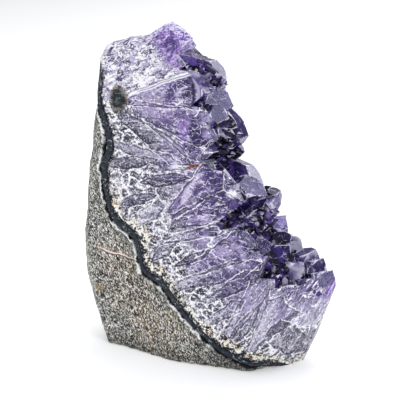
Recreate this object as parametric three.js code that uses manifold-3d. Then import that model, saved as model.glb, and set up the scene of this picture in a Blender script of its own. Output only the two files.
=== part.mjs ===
// Cut base amethyst cluster: a wedge sawn out of the wall of a geode, standing on its sawn base.
// Basalt rind at the back and underneath, a thin dark celadonite seam on it, and the quartz crust that grew
// inwards from the seam and ends in amethyst points. Both long sides are sawn flat, the near one at y = 0.
//
// Millimetres, +Z up. While modelling, x runs from the rind (left) to the points (right), y from the near sawn
// side to the far one, and the origin is the near corner of the base. The group moves that to the part's own
// origin, the middle of its base.

import * as THREE from "three";
import { mergeVertices } from "three/addons/utils/BufferGeometryUtils.js";
import Module from "manifold-3d";

const wasm = await Module();
wasm.setup();

// Driving dimensions.
const THICKNESS_BASE = 32; // between the sawn sides, at the base
const THICKNESS_TOP = 20; // and at the top
const TOP_Z = 120;
const JOINT_GAP = 0.3; // left between two of the pieces
const SEAM_TOP = 2.3; // the seam's thickness high up
const SEAM_FOOT = 1.3; // and at the front of the base
const ORIGIN_X = -19.6; // where the part's origin is in modelling coordinates
const ORIGIN_Y = 14.5;
const FAR_ROUNDING = 8; // how far from the far sawn side the points start to fall back
const OUTSIDE = 90; // a reach that is clear of the whole part

// Slope of quartz's pyramid faces: the angle between a face's normal and the crystal's long axis.
const FACE_TILT = THREE.MathUtils.degToRad(51.8);

// Left outline of the near sawn side, from under the base to the top, as x, z.
const RIND_OUTLINE = [
  [-54, -6], [-57, 3], [-60.6, 14], [-63.2, 25], [-64, 35], [-62.2, 54], [-60, 73], [-57.4, 91], [-55.6, 105], [-53, 110.5],
];
// Top outline of the same side, from the rind to past the topmost points.
const TOP_OUTLINE = [[-49.5, 112.2], [-45, 113.6], [-38.5, 115], [-33, 118], [-28, 122], [-22, 127]];

// The rock side of the seam on the near sawn side, from above the left outline to below the base.
const SEAM_LINE = [
  [-70, 117], [-61, 107.5], [-56.8, 99], [-56.9, 91], [-54.9, 85], [-52.9, 79], [-53, 74], [-55, 69], [-54.8, 62], [-53.4, 55],
  [-51.8, 49.5], [-48, 45.2], [-43.6, 43.2], [-41.2, 38], [-40, 32.5], [-36.6, 28.8], [-31.6, 27], [-27, 22.8], [-21.4, 17.8],
  [-15.8, 13.6], [-10.6, 9.4], [-5.4, 5.6], [0, 3.6], [6, 1.8], [11, -1], [20, -9],
];

// Growth rows: where crystals start on the seam and where their tips end, both as x, z.
const GROWTH_ROWS = [
  [[-57, 107], [-21, 113]],
  [[-56, 97], [-17, 104]],
  [[-54, 88], [-12.5, 95]],
  [[-51.5, 79], [-10, 86]],
  [[-52, 69], [-11, 77]],
  [[-52, 60], [-4, 69]],
  [[-49, 49], [2, 62]],
  [[-40, 38], [3, 54]],
  [[-30, 28], [6, 48]],
  [[-20, 19], [9, 43]],
  [[-10, 11], [13, 38]],
  [[-2, 6], [18, 37]],
  [[6, 3], [24, 38]],
  [[13, 0], [32, 37]],
];

// The crystals that make the outline, each as tip x, y, z, place of its foot along the rows (0 to 1), foot y,
// half width across its flats and turn about its own axis in degrees.
const LEADERS = [
  [-19.9, 3, 115.7, 0, 2, 4.7, 10],
  [-25.9, 8, 117.3, 0, 7, 4.8, 35],
  [-33.3, 12, 117.5, 0, 11, 5.6, 50],
  [-21.5, 1, 106.9, 0.04, 0.5, 3.6, 20],
  [-11.8, 12, 100.9, 0, 11, 4.9, 90],
  [-20.8, 19, 101.3, 0, 18, 4.2, 25],
  [-12.8, 1.5, 98.5, 0.07, 0.5, 6.2, 5],
  [-8.6, 11, 92.1, 0.09, 10, 6, 30],
  [-5.3, 16, 80.9, 0.2, 15, 8.5, 12],
  [-10.9, 1.5, 88.5, 0.15, 0.5, 5, 45],
  [-9.3, 1.5, 82.8, 0.19, 0.5, 5, 33],
  [-7.9, 6, 89.2, 0.15, 5, 4, 18],
  [-5.0, 7, 86.2, 0.18, 6, 5, 8],
  [-5.3, 13, 76.0, 0.22, 12, 5.6, 90],
  [-8.0, 4, 78.6, 0.24, 3, 4.5, 0],
  [-10.4, 1.5, 72.6, 0.3, 0.5, 3.8, 14],
  [1.9, 1, 63.7, 0.37, 0.5, 9, 40],
  [6.0, 8, 63.3, 0.42, 7, 6.4, 94],
  [2.0, 14, 62.1, 0.25, 13, 6.8, 90],
  [8.0, 14, 63.9, 0.6, 12, 4, 90],
  [8.7, 12, 56.9, 0.47, 11, 5.6, 38],
  [5.4, 2, 48.0, 0.56, 1, 7, 10],
  [7.3, 20, 53.2, 0.7, 19, 3.8, 20],
  [11.5, 17, 47.5, 0.66, 16, 4.2, 5],
  [13.2, 20, 45.4, 0.72, 19, 3.6, 48],
  [12.7, 12, 45.7, 0.72, 11, 5.6, 30],
  [8.1, 8, 46.5, 0.62, 7, 4.4, 12],
  [8.9, 1, 44.2, 0.68, 0.5, 4.6, 0],
  [12.3, 1, 36.9, 0.76, 0.5, 4.6, 22],
  [17.8, 2, 34.7, 0.8, 1, 4.4, 40],
  [22.1, 3, 36.6, 0.84, 2, 4.8, 34],
  [18.4, 11, 40.8, 0.8, 10, 5.2, 12],
  [19.3, 19, 43.1, 0.82, 18, 5.2, 50],
  [23.2, 17, 41.1, 0.86, 16, 4.6, 25],
  [26.3, 5, 38.1, 0.88, 4, 4.8, 5],
  [27.5, 15, 38.2, 0.92, 14, 5, 18],
  [31.6, 9, 34.5, 0.96, 8, 4.4, 45],
];

// The crystals between the leaders, spread evenly over the seam with a share of chance.
const GRID_ROWS = 18;
const GRID_DEEP = 4;
const CHANCE_SEED = 20417;

// A repeatable source of chance, from 0 to 1.
function chanceFrom(seed) {
  let state = seed;
  return () => {
    state = (state * 1664525 + 1013904223) % 4294967296;
    return state / 4294967296;
  };
}

function solidOf(positions, triangles) {
  const make = (tri) =>
    new wasm.Manifold(
      new wasm.Mesh({ numProp: 3, vertProperties: new Float32Array(positions), triVerts: new Uint32Array(tri) }),
    );
  const made = make(triangles);
  return made.volume() > 0 ? made : make([...triangles].reverse());
}

function solidFromGeometry(geometry) {
  const bare = geometry.clone();
  bare.deleteAttribute("normal");
  bare.deleteAttribute("uv");
  const merged = mergeVertices(bare, 1e-4);
  return solidOf(merged.attributes.position.array, Array.from(merged.index.array));
}

// A closed solid through rings with equal numbers of points. The first and last ring are flat and become its ends.
function loft(rings) {
  const count = rings[0].length;
  const positions = rings.flat().flatMap((p) => [p.x, p.y, p.z]);
  const triangles = [];
  for (let r = 0; r + 1 < rings.length; r++)
    for (let i = 0; i < count; i++) {
      const here = r * count + i;
      const beside = r * count + ((i + 1) % count);
      triangles.push(here, beside, beside + count, here, beside + count, here + count);
    }
  const addCap = (ring, first, forwards) => {
    const flat = ring.map((p) => new THREE.Vector2(p.x, p.z));
    const ringTurns = THREE.ShapeUtils.area(flat) > 0;
    for (const [a, b, c] of THREE.ShapeUtils.triangulateShape(flat, [])) {
      const turns = THREE.ShapeUtils.area([flat[a], flat[b], flat[c]]) > 0;
      if ((turns === ringTurns) === forwards) triangles.push(first + a, first + b, first + c);
      else triangles.push(first + a, first + c, first + b);
    }
  };
  addCap(rings[0], 0, false);
  addCap(rings.at(-1), (rings.length - 1) * count, true);
  return solidOf(positions, triangles);
}

// Keeps the side of a plane that its normal points away from.
function cutAway(solid, normal, point) {
  const n = new THREE.Vector3(...normal).normalize();
  return solid.trimByPlane([-n.x, -n.y, -n.z], -n.dot(new THREE.Vector3(...point)));
}

function smoothLine(points, divisions) {
  return new THREE.SplineCurve(points.map(([x, z]) => new THREE.Vector2(x, z))).getPoints(divisions);
}

// Rolling lumps for natural surfaces, about -1 to 1, from waves that don't repeat together.
function lumps(u, v) {
  return (
    0.5 * Math.sin(0.31 * u + 0.8 * Math.sin(0.17 * v + 0.6)) * Math.cos(0.27 * v + 1.1) +
    0.32 * Math.sin(0.63 * u - 0.41 * v + 2.1) +
    0.24 * Math.cos(0.92 * v + 0.57 * u + 0.4) * Math.sin(0.48 * u - 1.2)
  );
}

const thicknessAt = (z) => THICKNESS_BASE + ((THICKNESS_TOP - THICKNESS_BASE) * z) / TOP_Z;

// The near sawn side isn't quite flat: it swells a little towards the middle of the base.
function buildFootBulge() {
  const outlines = [
    [1, [[-54, -2], [4, -2], [-4, 22], [-20, 50], [-40, 34]]],
    [-1.8, [[-35, -2], [-6, -2], [-9, 13], [-19, 26], [-29, 17]]],
    [-3, [[-26, -2], [-12, -2], [-13, 5], [-18, 10], [-23, 7]]],
  ];
  return loft(outlines.map(([y, outline]) => outline.map(([x, z]) => new THREE.Vector3(x, y, z))));
}

// The stone before its layers are parted: rounded rind and top, two sawn sides, and room for the points on the right.
function buildBlock() {
  const rind = smoothLine(RIND_OUTLINE, 30);
  const top = smoothLine(TOP_OUTLINE, 8);
  const depths = [0, 0.02, 0.07, 0.16, 0.26, 0.37, 0.48, 0.59, 0.7, 0.8, 0.89, 0.95, 1];
  const ROUNDING = 3.4; // how far the rind and top draw in towards each sawn side
  const BELLY = 3.4; // how far the rind swells between the sawn sides
  const rings = depths.map((depth) => {
    const nearEdge = Math.min(1, depth / 0.15);
    const farEdge = Math.min(1, (1 - depth) / 0.13);
    const drawnIn = ROUNDING * ((1 - Math.sqrt(1 - (1 - nearEdge) ** 2)) + 2 * (1 - Math.sqrt(1 - (1 - farEdge) ** 2)));
    const ring = [];
    for (const p of rind) {
      const y = depth * thicknessAt(p.y);
      const rough = 1.5 * lumps(p.y, y * 1.3) * Math.sin(Math.PI * depth) ** 0.5;
      const swell = BELLY * Math.sin(Math.PI * depth) * Math.sin(Math.PI * THREE.MathUtils.clamp(p.y / 105, 0, 1));
      ring.push(new THREE.Vector3(p.x + drawnIn - swell + rough, y, p.y));
    }
    for (const [i, p] of top.entries()) {
      const y = depth * thicknessAt(p.y);
      const rough = 0.9 * lumps(p.x * 1.7 + 4, y * 1.6) * Math.min(1, depth * 8);
      const shift = drawnIn * (1 - i / (top.length - 1));
      ring.push(new THREE.Vector3(p.x + shift, y, p.y - 0.5 * drawnIn - 0.09 * y + rough));
    }
    for (const [x, z] of [[OUTSIDE, 132], [OUTSIDE, -6]]) ring.push(new THREE.Vector3(x, depth * thicknessAt(z), z));
    return ring;
  });
  let block = loft(rings).add(buildFootBulge());
  block = cutAway(block, [0, 0, -1], [0, 0, 0]);
  // The front of the base is ground back in a few flats, from the near side round to the front.
  block = cutAway(block, [0.925, 0, -0.38], [14.8, 20, 0]);
  block = cutAway(block, [0.87, -0.32, -0.38], [14, 17, 0]);
  block = cutAway(block, [0.74, -0.55, -0.39], [7, 7.6, 0]);
  block = cutAway(block, [0.42, -0.82, -0.38], [0, 0.6, 0]);
  block = cutAway(block, [0.15, -0.97, -0.19], [-8, -0.2, 0.6]);
  // The far corner of the front is broken off in the same way.
  block = cutAway(block, [0.72, 0.66, -0.2], [12, 27, 0]);
  block = cutAway(block, [0.5, 0.86, 0.02], [6, 30, 14]);
  return block;
}

// Everything on the crystal side of the seam line, moved off it by a distance that may change along the line.
function crystalSide(offsetAt) {
  const line = smoothLine(SEAM_LINE, 64);
  const normals = line.map((p, i) => {
    const before = line[Math.max(0, i - 1)];
    const after = line[Math.min(line.length - 1, i + 1)];
    const along = after.clone().sub(before).normalize();
    return new THREE.Vector2(-along.y, along.x);
  });
  const rings = [-4, 4, 11, 18, 25, 36].map((y) => {
    const wander = (0.05 * y) / (1 + 0.01 * Math.abs(y));
    const ring = line.map((p, i) => {
      const share = i / (line.length - 1);
      const off = offsetAt(share) + (y > 0 ? wander * lumps(p.y * 0.8 + p.x * 0.5, y * 0.9) * 1.4 : 0);
      return new THREE.Vector3(p.x + normals[i].x * off, y, p.y + normals[i].y * off);
    });
    ring.push(new THREE.Vector3(OUTSIDE + 9, y, -14), new THREE.Vector3(OUTSIDE + 9, y, 140), new THREE.Vector3(-72, y, 140));
    return ring;
  });
  return loft(rings);
}

const seamThickness = (share) => THREE.MathUtils.lerp(SEAM_TOP, SEAM_FOOT, share) + 0.35 * Math.sin(31 * share);

const footLine = new THREE.SplineCurve(GROWTH_ROWS.map(([[x, z]]) => new THREE.Vector2(x, z)));
const tipLine = new THREE.SplineCurve(GROWTH_ROWS.map(([, [x, z]]) => new THREE.Vector2(x, z)));

// Near the far side the points fall back, so the crust ends there in a rounded edge.
const farRetreat = (y, z) => 0.62 * Math.max(0, y - thicknessAt(z) + FAR_ROUNDING);

function growthAt(share, footY, tipY, reach) {
  const foot = footLine.getPoint(share);
  const tip = tipLine.getPoint(share);
  const back = farRetreat(tipY, tip.y);
  const start = new THREE.Vector3(foot.x, footY, foot.y);
  const end = new THREE.Vector3(tip.x - 0.8 * back, tipY, tip.y - 0.6 * back);
  return { foot: start, tip: start.clone().lerp(end, reach) };
}

// Every crystal as { foot, tip, halfWidth, turn, lag }. The lag holds back every other pyramid face.
function listCrystals() {
  const chance = chanceFrom(CHANCE_SEED);
  const crystals = LEADERS.map(([x, y, z, share, footY, halfWidth, turn]) => {
    const foot = footLine.getPoint(share);
    const lag = 0.02 + 0.05 * chance();
    return {
      foot: new THREE.Vector3(foot.x, footY, foot.y),
      tip: new THREE.Vector3(x, y, z),
      halfWidth,
      turn: THREE.MathUtils.degToRad(turn),
      lag,
    };
  });
  for (let row = 0; row < GRID_ROWS; row++)
    for (let deep = 0; deep < GRID_DEEP; deep++) {
      const share = (row + 0.15 + 0.7 * chance()) / GRID_ROWS;
      const footY = ((deep + 0.1 + 0.8 * chance()) / GRID_DEEP) * THICKNESS_BASE;
      const tipY = footY + 7 * (chance() - 0.5);
      const reach = (footY > 18 ? 0.86 : 0.79) + 0.14 * chance();
      const aside = 7 * (chance() - 0.5);
      const halfWidth = 3.9 + 3 * chance() * chance();
      const turn = chance() * Math.PI;
      const lag = 0.07 * chance();
      const { foot, tip } = growthAt(share, footY, tipY, reach);
      tip.add(new THREE.Vector3(-0.6 * aside, 0, 0.8 * aside));
      crystals.push({ foot, tip, halfWidth, turn, lag });
    }
  return crystals;
}

// One crystal: a six-sided prism from behind the seam to its tip, pointed by six pyramid faces.
function crystalSolid({ foot, tip, halfWidth, turn, lag }) {
  const axis = tip.clone().sub(foot);
  const reach = axis.length();
  axis.normalize();
  const cornerRadius = halfWidth / Math.cos(Math.PI / 6);
  const prism = new THREE.CylinderGeometry(cornerRadius, cornerRadius, reach + 8, 6);
  const upright = new THREE.Quaternion().setFromUnitVectors(new THREE.Vector3(0, 1, 0), axis);
  const turned = upright.clone().multiply(new THREE.Quaternion().setFromAxisAngle(new THREE.Vector3(0, 1, 0), turn));
  prism.translate(0, reach / 2, 0);
  prism.applyQuaternion(turned);
  prism.translate(foot.x, foot.y, foot.z);
  let solid = solidFromGeometry(prism);
  for (let k = 0; k < 6; k++) {
    const around = (Math.PI / 3) * (k + 0.5);
    const normal = new THREE.Vector3(
      Math.sin(FACE_TILT) * Math.sin(around),
      Math.cos(FACE_TILT),
      Math.sin(FACE_TILT) * Math.cos(around),
    ).applyQuaternion(turned);
    const heldBack = k % 2 ? lag * reach * Math.cos(FACE_TILT) : 0;
    const point = tip.clone().addScaledVector(normal, heldBack);
    solid = cutAway(solid, normal.toArray(), point.toArray());
  }
  return solid;
}

// The solid quartz under the points, from behind the seam to most of the way to the tips.
function buildRoot() {
  const shares = Array.from({ length: 27 }, (_, i) => i / 26);
  const rings = [-4, 5, 13, 21, 29, 37].map((y) => {
    const inner = shares.map((share) => growthAt(share, y, y, 0.74 - 0.002 * Math.max(0, y)).tip);
    const outer = shares.map((share) => {
      const foot = footLine.getPoint(share);
      return new THREE.Vector3(foot.x - 9, y, foot.y - 9);
    });
    return [...inner, ...outer.reverse()];
  });
  return loft(rings);
}

function geometryOf(solid) {
  const mesh = solid.getMesh();
  const positions = new Float32Array(mesh.numVert * 3);
  for (let i = 0; i < mesh.numVert; i++)
    positions.set(mesh.vertProperties.subarray(i * mesh.numProp, i * mesh.numProp + 3), i * 3);
  const geometry = new THREE.BufferGeometry();
  geometry.setAttribute("position", new THREE.BufferAttribute(positions, 3));
  geometry.setIndex(new THREE.BufferAttribute(new Uint32Array(mesh.triVerts), 1));
  geometry.computeVertexNormals();
  return geometry;
}

function biggestBody(solid) {
  return solid.decompose().sort((a, b) => b.volume() - a.volume())[0];
}

function namedMesh(name, solid, colour, roughness) {
  const material = new THREE.MeshStandardMaterial({ color: colour, roughness, metalness: 0, flatShading: true });
  const mesh = new THREE.Mesh(geometryOf(biggestBody(solid)), material);
  mesh.name = name;
  return mesh;
}

const block = buildBlock();
const crust = listCrystals()
  .map(crystalSolid)
  .reduce((whole, crystal) => whole.add(crystal), buildRoot())
  .intersect(block)
  .intersect(crystalSide((share) => seamThickness(share) + 2 * JOINT_GAP));
const seam = block
  .intersect(crystalSide(() => JOINT_GAP))
  .subtract(crystalSide((share) => seamThickness(share) + JOINT_GAP));
const rock = block.subtract(crystalSide(() => 0));

const cluster = new THREE.Group();
cluster.add(
  namedMesh("basalt_rind", rock, 0x77736b, 0.85),
  namedMesh("celadonite_seam", seam, 0x2b3340, 0.55),
  namedMesh("amethyst_crust", crust, 0x8d7cb4, 0.25),
);
cluster.position.set(-ORIGIN_X, -ORIGIN_Y, 0);

export default cluster;
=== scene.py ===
import math
import random

import bpy
import numpy as np
from mathutils import Matrix, Quaternion, Vector
from mathutils.bvhtree import BVHTree


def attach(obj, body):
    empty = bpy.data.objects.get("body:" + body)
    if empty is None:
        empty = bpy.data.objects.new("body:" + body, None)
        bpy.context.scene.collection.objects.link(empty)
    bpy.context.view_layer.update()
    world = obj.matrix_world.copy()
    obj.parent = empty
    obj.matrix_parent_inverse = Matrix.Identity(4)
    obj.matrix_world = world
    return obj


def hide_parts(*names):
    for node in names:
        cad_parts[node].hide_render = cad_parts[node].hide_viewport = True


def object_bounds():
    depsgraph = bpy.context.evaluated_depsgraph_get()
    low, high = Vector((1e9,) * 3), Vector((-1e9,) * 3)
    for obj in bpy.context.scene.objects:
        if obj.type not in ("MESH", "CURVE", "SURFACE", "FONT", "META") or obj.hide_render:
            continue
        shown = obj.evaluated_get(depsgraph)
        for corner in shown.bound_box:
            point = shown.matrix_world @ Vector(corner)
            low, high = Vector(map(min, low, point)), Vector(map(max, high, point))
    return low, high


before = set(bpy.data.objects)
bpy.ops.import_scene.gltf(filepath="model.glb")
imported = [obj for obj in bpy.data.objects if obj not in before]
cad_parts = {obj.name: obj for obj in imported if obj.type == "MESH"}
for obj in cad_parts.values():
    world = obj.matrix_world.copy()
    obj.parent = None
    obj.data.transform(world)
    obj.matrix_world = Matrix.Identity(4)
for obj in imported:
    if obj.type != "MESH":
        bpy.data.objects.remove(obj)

cad_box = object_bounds()

# Sizes are in millimetres unless a name ends in _m. Blender works in metres.
MM = 0.001
ORIGIN_X, ORIGIN_Y = -19.6, 14.5  # the frame's origin, seen from the near corner of the base
THICKNESS_BASE, THICKNESS_TOP, TOP_Z = 32, 20, 120

# Growth rows of the crust: where they start on the seam and where their points end, as x, z from
# the near corner.
GROWTH_ROWS = [
    ((-57, 107), (-21, 113)), ((-56, 97), (-17, 104)), ((-54, 88), (-12.5, 95)),
    ((-51.5, 79), (-10, 86)), ((-52, 69), (-11, 77)), ((-52, 60), (-4, 69)), ((-49, 49), (2, 62)),
    ((-40, 38), (3, 54)), ((-30, 28), (6, 48)), ((-20, 19), (9, 43)), ((-10, 11), (13, 38)),
    ((-2, 6), (18, 37)), ((6, 3), (24, 38)), ((13, 0), (32, 37)),
]
ROW_SPACING = 10.4  # mean distance between two rows
GROWTH_LENGTH = 42  # mean length of a row
ROWS_PAST_ENDS = 0.7  # how far growth runs on past the first and the last row, in rows
ROW_STEPS = 420
SHARES = (-0.6, 1.8)  # a place outside these shares of the way to the points' ends is another row's
OTHER_ROW_GAP = 100
PLACES_AT_ONCE = 20000
CRYSTALS_FROM = 0.62  # share of the way from which a face off the flats is a crystal face

# Where the two purple fans spread from, as x, z, and how far they reach.
FANS = [((-46, 92), 38), ((-30, 49), 36)]

# Crystals that the saw cut through lengthwise on the near side: foot and tip as x, z, half width,
# form and tone.
SAWN_CRYSTALS = [
    ((-48, 88), (-18.8, 72.5), 5.2, "point", "slate"),
    ((-46.7, 92.9), (-11.6, 99.7), 6.6, "point", "violet"),
    ((-42.4, 90.6), (-7.8, 84.1), 6.8, "point", "purple"),
    ((-38, 86.6), (-16.1, 73.9), 1.7, "point", "pale"),
    ((-53.5, 77), (-19.5, 71), 3.3, "point", "lilac"),
    ((-54.6, 68), (-31, 73), 2.6, "lens", "slate"),
    ((-40, 63.4), (-18.8, 68.6), 2.6, "lens", "dusk"),
    ((-26.7, 51.3), (1.7, 62.5), 6.3, "point", "purple"),
    ((-27.4, 53.7), (-6.3, 74.3), 5.9, "point", "violet"),
    ((-51, 42.5), (-29.4, 57), 3.3, "point", "pale"),
    ((-50.8, 53.7), (-31.3, 60.3), 2.2, "lens", "slate"),
    ((-28, 48.5), (-20, 54.1), 2.2, "lens", "dusk"),
    ((-33, 42.1), (-2.4, 54.4), 2.7, "point", "pale"),
    ((-26.8, 34.3), (-10.3, 44.1), 1.9, "lens", "dusk"),
    ((-20.4, 33.9), (6.3, 50.9), 5.9, "point", "purple"),
    ((-31.7, 24.4), (7.9, 42.6), 3.9, "point", "lilac"),
    ((-35.6, 35), (-24.3, 45.1), 2.2, "lens", "slate"),
    ((-14, 23.6), (8.3, 39.8), 3.3, "point", "dusk"),
    ((-15.7, 13.1), (1.7, 27.7), 3.0, "point", "lilac"),
    ((-5.9, 7.5), (8.1, 27.1), 2.7, "lens", "slate"),
    ((-7, 9.2), (11.6, 40.4), 4.4, "point", "lilac"),
    ((3.8, 8.8), (16.2, 32.6), 4.2, "point", "pale"),
    ((8.4, 7), (14.2, 23.5), 2.2, "lens", "dusk"),
    ((18.1, 10.7), (28.5, 38.5), 4.4, "point", "violet"),
    ((26.9, 14.4), (34.2, 37.4), 3.3, "point", "pale"),
]

# The flats that were sawn or ground, as a normal and a point on each.
FAR_SLOPE = (THICKNESS_BASE - THICKNESS_TOP) / TOP_Z
SAWN_FLATS = [
    ((0, -1, 0), (0, 0, 0)), ((0, 1, FAR_SLOPE), (0, THICKNESS_BASE, 0)), ((0, 0, -1), (0, 0, 0)),
    ((0.925, 0, -0.38), (14.8, 20, 0)), ((0.87, -0.32, -0.38), (14, 17, 0)),
    ((0.74, -0.55, -0.39), (7, 7.6, 0)), ((0.42, -0.82, -0.38), (0, 0.6, 0)),
    ((0.15, -0.97, -0.19), (-8, -0.2, 0.6)), ((0.72, 0.66, -0.2), (12, 27, 0)),
    ((0.5, 0.86, 0.02), (6, 30, 14)),
]

# How cloudy some facets are, from 0, dark and clear, to 1, white, by a point on each.
FACET_CLOUDING = [
    ((-22.2, 8.6, 106.3), 0.4), ((-17.7, 9.4, 106.6), 0.4), ((-13.9, 9.4, 102.6), 0.95),
    ((-14.6, 8.6, 98.2), 0.55), ((-16.6, 1.6, 102.2), 0.8), ((-13.2, 1.6, 98.1), 0.65),
    ((-12.3, 7.9, 93.4), 0.5), ((-10, 9.3, 91.7), 0.6), ((-9.8, 16.6, 86.5), 0.55),
    ((-8, 5.4, 87.9), 0.15), ((-9.2, 3.4, 83.8), 0.0), ((-9.1, 9.2, 77.1), 0.05),
    ((-6.4, 11.5, 76.9), 0.6), ((-0.6, 11.3, 67.8), 0.65), ((-3.2, 11.2, 70.3), 0.6),
    ((-0.8, 17.4, 64.7), 0.55), ((2.8, 6, 64.8), 0.65), ((0.8, 4.8, 59.2), 0.1),
    ((6.3, 10.6, 61.2), 0.12), ((7.3, 13.3, 60.6), 0.75), ((4, 7.8, 55.6), 0.35),
    ((7.3, 18.5, 50.4), 0.5), ((-2, 3.1, 57.9), 0.05), ((-1.7, 8.6, 50.5), 0.1),
    ((12.6, 18.9, 43.8), 0.95), ((11.2, 17.1, 40.1), 0.75), ((17.2, 8.9, 38.4), 0.85),
    ((17.3, 15.2, 40.7), 0.5), ((21.8, 15.3, 40), 0.45), ((23.9, 14, 37.2), 0.7),
    ((27.3, 13.1, 35.2), 0.5), ((8.6, 0.9, 44.2), 0.8),
]
USUAL_CLOUDING = (0.05, 0.15, 0.3, 0.45, 0.6, 0.8)
CLOUDING_SEED = 17
HOLLOW_SEED = 5
HOLLOW_RAYS = 14
HOLLOW_REACH = 11
LEAST_HOLLOW = 0.35
FACE_TINT = (0.80, 0.80, 1.0)  # the violet that crystal faces lend to what they reflect

CELL = 1.6  # longest side of a face of the crust after it is cut up
SHARP_COSINE = math.cos(math.radians(28))
SAME_FACET_COSINE = 0.9995
ON_FLAT_COSINE, ON_FLAT_GAP = 0.995, 0.12
EDGE_FAR = 9.0  # what a vertex away from the crystal faces has as its distance from an edge
SMALL_POINTS = 700
SMALL_POINT_SEED = 611
SMALL_POINTS_BELOW = 106  # above is the block that the saw left
SMALL_POINT_INSET_M = 0.002  # kept from the sides of the CAD box
SMALL_POINT_WIDTHS = (0.9, 2.2)
# Where small crystals also crowd on open faces, as centre, radius, number and how light they are; the light
# patches are milky crystals and partly a painted highlight, white sparkle.
SMALL_POINT_PATCHES = [
    ((-9.3, 4.5, 83), 5.5, 90, 0.35), ((-8, 9, 78), 4.5, 40, 0.5), ((-13.5, 9, 100.5), 3.5, 24, 1.0),
    ((4.2, 8.2, 55.4), 3.2, 30, 1.0), ((12.5, 5.5, 36.5), 4, 34, 1.0), ((-0.5, 6, 50), 4, 34, 0.8),
    ((-15, 2, 100), 3, 10, 1.0),
]
LIGHTNESS_ELSEWHERE = 0.75
ROCK_VOXEL = 0.7

# Soft lights: name, azimuth, elevation, distance, side and radiance.
LIGHTS = [
    ("back_panel", 170, 25, 800, 700, 1.9),
    ("right_panel", 62, 38, 600, 300, 3.6),
    ("front_panel", -38, 32, 750, 380, 3.2),
    ("overhead_panel", -150, 76, 520, 400, 2.6),
]
LIT_PLACE = (-15, 10, 60)
ROOM_LIGHT = 0.42
LIGHT_COLOUR = (0.94, 0.96, 1.0)
FLOOR_GLOW, FLOOR_WHITE = 0.24, 0.93
FLOOR_SIZE_M = 1.3

# The camera stands to the right of the near sawn side and a little above it.
CAMERA_AZIMUTH, CAMERA_ELEVATION = math.radians(28), math.radians(18)
CAMERA_PLACE = (200.0, -405.7, 210.2)
CAMERA_HALF_ANGLE = math.radians(8)


def paint(red, green, blue):
    """A colour given as a screen shows it, 0 to 255, as the amounts of light that shaders mix."""
    return tuple(((part / 255 + 0.055) / 1.055) ** 2.4 for part in (red, green, blue))


# Painted light and painted shade: for each tone that a sawn crystal has, a lit copy for one side and a shaded
# copy for the other, standing in for relief.
LIT_AND_SHADED_TONES = {
    "pale": (paint(214, 211, 224), paint(158, 153, 180)),
    "lilac": (paint(184, 178, 204), paint(122, 115, 150)),
    "violet": (paint(156, 136, 192), paint(90, 66, 138)),
    "purple": (paint(136, 112, 180), paint(74, 50, 126)),
    "slate": (paint(140, 136, 164), paint(80, 75, 106)),
    "dusk": (paint(116, 110, 142), paint(58, 51, 84)),
}

# Spots of another colour on the sawn quartz, one of them a painted highlight: centre as x, z, half sizes,
# tilt, colour and strength.
STAINS_AND_A_PAINTED_HIGHLIGHT = [
    ((-17.2, 85), 6.5, 2.4, 84, (62, 40, 116), 0.85),
    ((-21.8, 84), 5.5, 1.8, 80, (148, 104, 204), 0.75),
    ((-24.2, 71.1), 3.6, 2.0, 10, (226, 222, 236), 0.75),
    ((-8.5, 68), 6.5, 3.4, -25, (70, 44, 130), 0.85), ((-19, 66), 9, 1.0, 62, (206, 198, 224), 0.8),
    ((-3, 60), 5, 3.5, -60, (88, 62, 146), 0.8), ((-25, 99), 6, 1.4, 50, (74, 46, 128), 0.75),
    ((4, 44), 5, 2.2, -50, (72, 46, 132), 0.8), ((-27, 88.5), 7, 2.2, 5, (120, 96, 162), 0.6),
    # The white spot at -3.6, 64.8, on the line below, is a painted highlight, a sparkle.
    ((31, 20), 8, 1.2, 74, (232, 229, 242), 0.6), ((-3.6, 64.8), 2.2, 1.5, 10, (240, 238, 247), 0.9),
    ((-13, 66.5), 5, 1.6, 30, (74, 48, 134), 0.7), ((9, 41), 4, 1.6, -50, (66, 42, 126), 0.8),
    ((-22, 104.5), 4, 1.2, 25, (222, 216, 236), 0.7), ((8, 27), 12, 6, 70, (196, 190, 214), 0.35),
    ((-35, 91), 7, 5, 10, (210, 200, 230), 0.4),
]


def from_corner(x, y, z):
    """A point given from the near corner of the base, as metres in the frame."""
    return Vector(((x - ORIGIN_X) * MM, (y - ORIGIN_Y) * MM, z * MM))


def add_camera():
    """The camera, from the place and with the lens that the photo was taken with."""
    bpy.ops.object.camera_add(location=from_corner(*CAMERA_PLACE))
    camera = bpy.context.object
    view = Vector((
        -math.sin(CAMERA_AZIMUTH) * math.cos(CAMERA_ELEVATION),
        math.cos(CAMERA_AZIMUTH) * math.cos(CAMERA_ELEVATION),
        -math.sin(CAMERA_ELEVATION),
    ))
    camera.rotation_euler = view.to_track_quat("-Z", "Y").to_euler()
    camera.data.sensor_width = 36
    camera.data.lens = 18 / math.tan(CAMERA_HALF_ANGLE)
    camera.data.clip_start = 0.01
    bpy.context.scene.camera = camera


# Shader maths

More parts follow.
